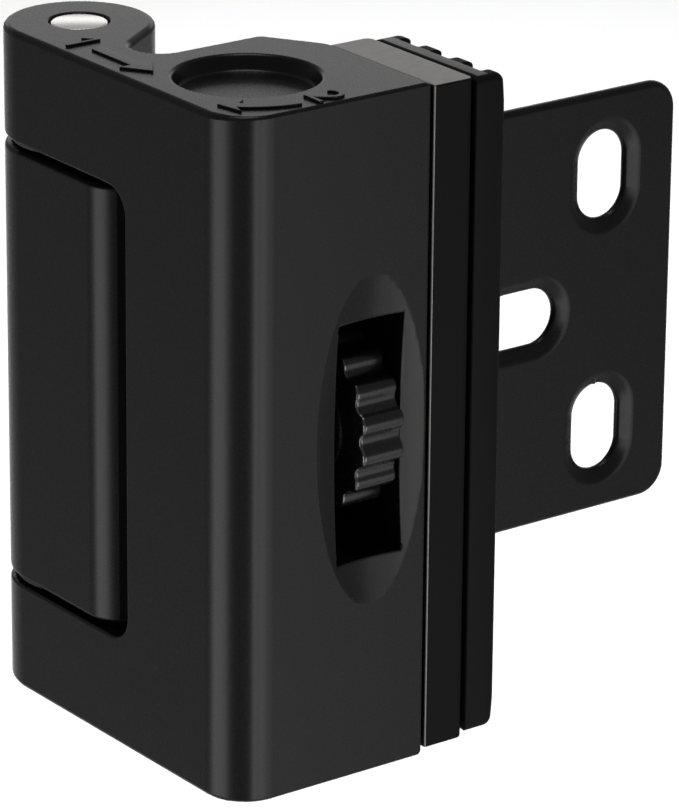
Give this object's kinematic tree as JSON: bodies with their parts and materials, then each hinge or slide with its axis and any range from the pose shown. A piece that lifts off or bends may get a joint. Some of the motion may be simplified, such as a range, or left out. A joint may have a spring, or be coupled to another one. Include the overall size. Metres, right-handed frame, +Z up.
{
  "type": "door reinforcement lock",
  "caption": "Swing-out door reinforcement lock: a slotted jamb bracket with a spring-loaded hinged body whose thumb wheel presses a rubber pad against the door.",
  "frame": {"origin": "on the bracket's jamb face, midway between its two upright screw slots", "axes": "+X from the jamb face out over the door, +Y from the room towards the door's face, +Z up along the hinge pin"},
  "size_m": [0.0489, 0.0757, 0.076],
  "materials": {
    "black_coat": "satin black coat",
    "black_carrier": "fine-grained black coat",
    "black_wheel": "glossy black moulding",
    "black_rubber": "matte moulded rubber",
    "black_nylon": "plain moulded nylon",
    "bright_steel": "bright ground steel",
    "dark_steel": "blackened steel",
    "brass": "turned brass"
  },
  "bodies": {
    "base": {"base_bracket": "black_coat", "stop_screw_upper": "dark_steel", "stop_screw_lower": "dark_steel", "return_spring_upper": "dark_steel", "return_spring_lower": "dark_steel"},
    "carriage": {"spring_plunger_upper": "brass", "spring_plunger_lower": "brass", "thrust_washer_upper": "black_nylon", "thrust_washer_lower": "black_nylon"},
    "body": {"lock_body": "black_coat", "hinge_pin": "bright_steel", "guide_bush_upper": "black_nylon", "guide_bush_lower": "black_nylon"},
    "wheel": {"adjuster_wheel": "black_wheel", "threaded_insert": "brass", "wheel_washer": "dark_steel"},
    "pad": {"pad_carrier": "black_carrier", "door_pad": "black_rubber", "adjuster_spindle": "bright_steel", "guide_pin_upper": "bright_steel", "guide_pin_lower": "bright_steel"}
  },
  "joints": [
    {"name": "pull", "type": "slide", "parent": "base", "child": "carriage", "axis": [1, 0, 0], "range_m": [0, 0.005], "stiffness_N_per_m": 3000, "deforming": ["return_spring_upper", "return_spring_lower"]},
    {"name": "swing", "type": "hinge", "parent": "carriage", "child": "body", "pos_m": [-0.01815, -0.05755, 0], "axis": [0, 0, -1], "range_deg": [0, 180]},
    {"name": "wheel_spin", "type": "hinge", "parent": "body", "child": "wheel", "pos_m": [0.0125, -0.0492, 0], "axis": [0, -1, 0], "range_deg": [0, 2160]},
    {"name": "pad_slide", "type": "slide", "parent": "body", "child": "pad", "axis": [0, 1, 0], "range_m": [0, 0.006]}
  ],
  "couplings": [
    {"joint": "wheel_spin", "follows": "pad_slide", "rad_per_m": 6283}
  ]
}
